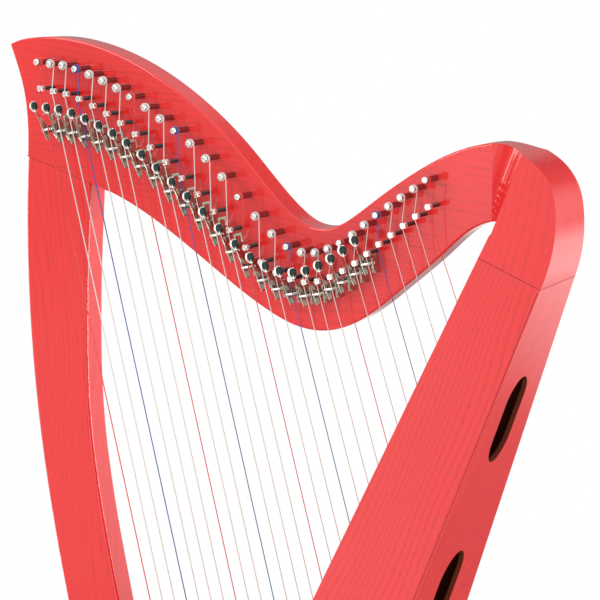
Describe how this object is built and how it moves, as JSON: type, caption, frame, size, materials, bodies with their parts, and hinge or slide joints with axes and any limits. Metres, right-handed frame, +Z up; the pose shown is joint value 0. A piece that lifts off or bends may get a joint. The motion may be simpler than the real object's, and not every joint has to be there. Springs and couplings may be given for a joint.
{
  "type": "lever harp",
  "caption": "Floor-standing lever harp: curved neck and column, tapered soundbox on a base board, tuning pins, bridge pins and a flip lever above each longer string.",
  "frame": {"origin": "on the floor under the middle of the harp's bounding box", "axes": "+Z up, -X towards the column, +X towards the player and the soundbox's shoulder, -Y the string and lever side of the neck (the player's left)"},
  "size_m": [0.6108, 0.3438, 1.0085],
  "materials": {
    "red_lacquered_wood": "high-gloss translucent red lacquer over open-grained ash",
    "bare_wood": "unfinished",
    "polished_nickel": "polished nickel plate",
    "nickel_pins": "nickel-plated, fine turned finish",
    "steel_screws": "bright zinc",
    "brass_eyelets": "satin",
    "clear_string": "translucent monofilament",
    "red_string": "dyed monofilament",
    "blue_string": "dyed monofilament",
    "bead_plastic": "moulded",
    "foot_rubber": "matt"
  },
  "bodies": {
    "frame": {"neck": "red_lacquered_wood", "column": "red_lacquered_wood", "shoulder_block": "red_lacquered_wood", "joint_dowels": "bare_wood", "soundboard": "red_lacquered_wood", "side_panel_left": "red_lacquered_wood", "side_panel_right": "red_lacquered_wood", "back_panel": "red_lacquered_wood", "box_top_block": "bare_wood", "tail_block": "bare_wood", "string_rib_outer": "red_lacquered_wood", "string_rib_inner": "bare_wood", "soundboard_linings": "bare_wood", "back_linings": "bare_wood", "back_braces": "bare_wood", "string_eyelets": "brass_eyelets", "string_knots": "bead_plastic", "base_board": "red_lacquered_wood", "rubber_feet": "foot_rubber", "foot_screws": "steel_screws", "strings_c": "red_string", "strings_f": "blue_string", "strings_plain": "clear_string", "tuning_pins": "nickel_pins", "bridge_pins": "nickel_pins", "lever_brackets": "polished_nickel", "bracket_screws": "steel_screws"},
    "lever_01": {"lever_01": "polished_nickel"},
    "lever_02": {"lever_02": "polished_nickel"},
    "lever_03": {"lever_03": "polished_nickel"},
    "lever_04": {"lever_04": "polished_nickel"},
    "lever_05": {"lever_05": "polished_nickel"},
    "lever_06": {"lever_06": "polished_nickel"},
    "lever_07": {"lever_07": "polished_nickel"},
    "lever_08": {"lever_08": "polished_nickel"},
    "lever_09": {"lever_09": "polished_nickel"},
    "lever_10": {"lever_10": "polished_nickel"},
    "lever_11": {"lever_11": "polished_nickel"},
    "lever_12": {"lever_12": "polished_nickel"},
    "lever_13": {"lever_13": "polished_nickel"},
    "lever_14": {"lever_14": "polished_nickel"},
    "lever_15": {"lever_15": "polished_nickel"},
    "lever_16": {"lever_16": "polished_nickel"},
    "lever_17": {"lever_17": "polished_nickel"},
    "lever_18": {"lever_18": "polished_nickel"},
    "lever_19": {"lever_19": "polished_nickel"},
    "lever_20": {"lever_20": "polished_nickel"},
    "lever_21": {"lever_21": "polished_nickel"},
    "lever_22": {"lever_22": "polished_nickel"},
    "lever_23": {"lever_23": "polished_nickel"},
    "lever_24": {"lever_24": "polished_nickel"},
    "tuning_pin_01": {"tuning_pin_01": "nickel_pins"},
    "tuning_pin_04": {"tuning_pin_04": "nickel_pins"},
    "tuning_pin_08": {"tuning_pin_08": "nickel_pins"},
    "tuning_pin_11": {"tuning_pin_11": "nickel_pins"},
    "tuning_pin_15": {"tuning_pin_15": "nickel_pins"},
    "tuning_pin_18": {"tuning_pin_18": "nickel_pins"},
    "tuning_pin_22": {"tuning_pin_22": "nickel_pins"},
    "tuning_pin_25": {"tuning_pin_25": "nickel_pins"},
    "tuning_pin_29": {"tuning_pin_29": "nickel_pins"}
  },
  "joints": [
    {"name": "lever_01_flip", "type": "hinge", "parent": "frame", "child": "lever_01", "pos_m": [-0.24689, -0.0295, 0.91415], "axis": [0.9799, 0, 0.1994], "range_deg": [0, 95]},
    {"name": "lever_02_flip", "type": "hinge", "parent": "frame", "child": "lever_02", "pos_m": [-0.23197, -0.0295, 0.91277], "axis": [0.9799, 0, 0.1994], "range_deg": [0, 95]},
    {"name": "lever_03_flip", "type": "hinge", "parent": "frame", "child": "lever_03", "pos_m": [-0.21704, -0.0295, 0.91139], "axis": [0.9799, 0, 0.1994], "range_deg": [0, 95]},
    {"name": "lever_04_flip", "type": "hinge", "parent": "frame", "child": "lever_04", "pos_m": [-0.20173, -0.0295, 0.90807], "axis": [0.9799, 0, 0.1994], "range_deg": [0, 95]},
    {"name": "lever_05_flip", "type": "hinge", "parent": "frame", "child": "lever_05", "pos_m": [-0.18601, -0.0295, 0.90274], "axis": [0.9799, 0, 0.1994], "range_deg": [0, 95]},
    {"name": "lever_06_flip", "type": "hinge", "parent": "frame", "child": "lever_06", "pos_m": [-0.17008, -0.0295, 0.89641], "axis": [0.9799, 0, 0.1994], "range_deg": [0, 95]},
    {"name": "lever_07_flip", "type": "hinge", "parent": "frame", "child": "lever_07", "pos_m": [-0.15389, -0.0295, 0.88881], "axis": [0.9799, 0, 0.1994], "range_deg": [0, 95]},
    {"name": "lever_08_flip", "type": "hinge", "parent": "frame", "child": "lever_08", "pos_m": [-0.1374, -0.0295, 0.87969], "axis": [0.9799, 0, 0.1994], "range_deg": [0, 95]},
    {"name": "lever_09_flip", "type": "hinge", "parent": "frame", "child": "lever_09", "pos_m": [-0.1205, -0.0295, 0.8686], "axis": [0.9799, 0, 0.1994], "range_deg": [0, 95]},
    {"name": "lever_10_flip", "type": "hinge", "parent": "frame", "child": "lever_10", "pos_m": [-0.10326, -0.0295, 0.85581], "axis": [0.9799, 0, 0.1994], "range_deg": [0, 95]},
    {"name": "lever_11_flip", "type": "hinge", "parent": "frame", "child": "lever_11", "pos_m": [-0.08583, -0.0295, 0.84211], "axis": [0.9799, 0, 0.1994], "range_deg": [0, 95]},
    {"name": "lever_12_flip", "type": "hinge", "parent": "frame", "child": "lever_12", "pos_m": [-0.06839, -0.0295, 0.82832], "axis": [0.9799, 0, 0.1994], "range_deg": [0, 95]},
    {"name": "lever_13_flip", "type": "hinge", "parent": "frame", "child": "lever_13", "pos_m": [-0.05076, -0.0295, 0.81361], "axis": [0.9799, 0, 0.1994], "range_deg": [0, 95]},
    {"name": "lever_14_flip", "type": "hinge", "parent": "frame", "child": "lever_14", "pos_m": [-0.03292, -0.0295, 0.79791], "axis": [0.9799, 0, 0.1994], "range_deg": [0, 95]},
    {"name": "lever_15_flip", "type": "hinge", "parent": "frame", "child": "lever_15", "pos_m": [-0.01527, -0.0295, 0.7831], "axis": [0.9799, 0, 0.1994], "range_deg": [0, 95]},
    {"name": "lever_16_flip", "type": "hinge", "parent": "frame", "child": "lever_16", "pos_m": [0.00181, -0.0295, 0.77107], "axis": [0.9799, 0, 0.1994], "range_deg": [0, 95]},
    {"name": "lever_17_flip", "type": "hinge", "parent": "frame", "child": "lever_17", "pos_m": [0.01806, -0.0295, 0.76317], "axis": [0.9799, 0, 0.1994], "range_deg": [0, 95]},
    {"name": "lever_18_flip", "type": "hinge", "parent": "frame", "child": "lever_18", "pos_m": [0.03353, -0.0295, 0.75908], "axis": [0.9799, 0, 0.1994], "range_deg": [0, 95]},
    {"name": "lever_19_flip", "type": "hinge", "parent": "frame", "child": "lever_19", "pos_m": [0.04835, -0.0295, 0.75821], "axis": [0.9799, 0, 0.1994], "range_deg": [0, 95]},
    {"name": "lever_20_flip", "type": "hinge", "parent": "frame", "child": "lever_20", "pos_m": [0.06244, -0.0295, 0.76089], "axis": [0.9799, 0, 0.1994], "range_deg": [0, 95]},
    {"name": "lever_21_flip", "type": "hinge", "parent": "frame", "child": "lever_21", "pos_m": [0.07588, -0.0295, 0.76679], "axis": [0.9799, 0, 0.1994], "range_deg": [0, 95]},
    {"name": "lever_22_flip", "type": "hinge", "parent": "frame", "child": "lever_22", "pos_m": [0.08901, -0.0295, 0.77424], "axis": [0.9799, 0, 0.1994], "range_deg": [0, 95]},
    {"name": "lever_23_flip", "type": "hinge", "parent": "frame", "child": "lever_23", "pos_m": [0.10183, -0.0295, 0.78319], "axis": [0.9799, 0, 0.1994], "range_deg": [0, 95]},
    {"name": "lever_24_flip", "type": "hinge", "parent": "frame", "child": "lever_24", "pos_m": [0.11433, -0.0295, 0.7937], "axis": [0.9799, 0, 0.1994], "range_deg": [0, 95]},
    {"name": "tuning_pin_01_turn", "type": "hinge", "parent": "frame", "child": "tuning_pin_01", "pos_m": [-0.25601, 0, 0.98306], "axis": [0, -1, 0], "range_deg": [-180, 45]},
    {"name": "tuning_pin_04_turn", "type": "hinge", "parent": "frame", "child": "tuning_pin_04", "pos_m": [-0.21081, 0, 0.97665], "axis": [0, -1, 0], "range_deg": [-180, 45]},
    {"name": "tuning_pin_08_turn", "type": "hinge", "parent": "frame", "child": "tuning_pin_08", "pos_m": [-0.14681, 0, 0.9497], "axis": [0, -1, 0], "range_deg": [-180, 45]},
    {"name": "tuning_pin_11_turn", "type": "hinge", "parent": "frame", "child": "tuning_pin_11", "pos_m": [-0.09627, 0, 0.91697], "axis": [0, -1, 0], "range_deg": [-180, 45]},
    {"name": "tuning_pin_15_turn", "type": "hinge", "parent": "frame", "child": "tuning_pin_15", "pos_m": [-0.02479, 0, 0.85326], "axis": [0, -1, 0], "range_deg": [-180, 45]},
    {"name": "tuning_pin_18_turn", "type": "hinge", "parent": "frame", "child": "tuning_pin_18", "pos_m": [0.02865, 0, 0.80636], "axis": [0, -1, 0], "range_deg": [-180, 45]},
    {"name": "tuning_pin_22_turn", "type": "hinge", "parent": "frame", "child": "tuning_pin_22", "pos_m": [0.08582, 0, 0.81299], "axis": [0, -1, 0], "range_deg": [-180, 45]},
    {"name": "tuning_pin_25_turn", "type": "hinge", "parent": "frame", "child": "tuning_pin_25", "pos_m": [0.12381, 0, 0.84198], "axis": [0, -1, 0], "range_deg": [-180, 45]},
    {"name": "tuning_pin_29_turn", "type": "hinge", "parent": "frame", "child": "tuning_pin_29", "pos_m": [0.175, 0, 0.87797], "axis": [0, -1, 0], "range_deg": [-180, 45]}
  ]
}
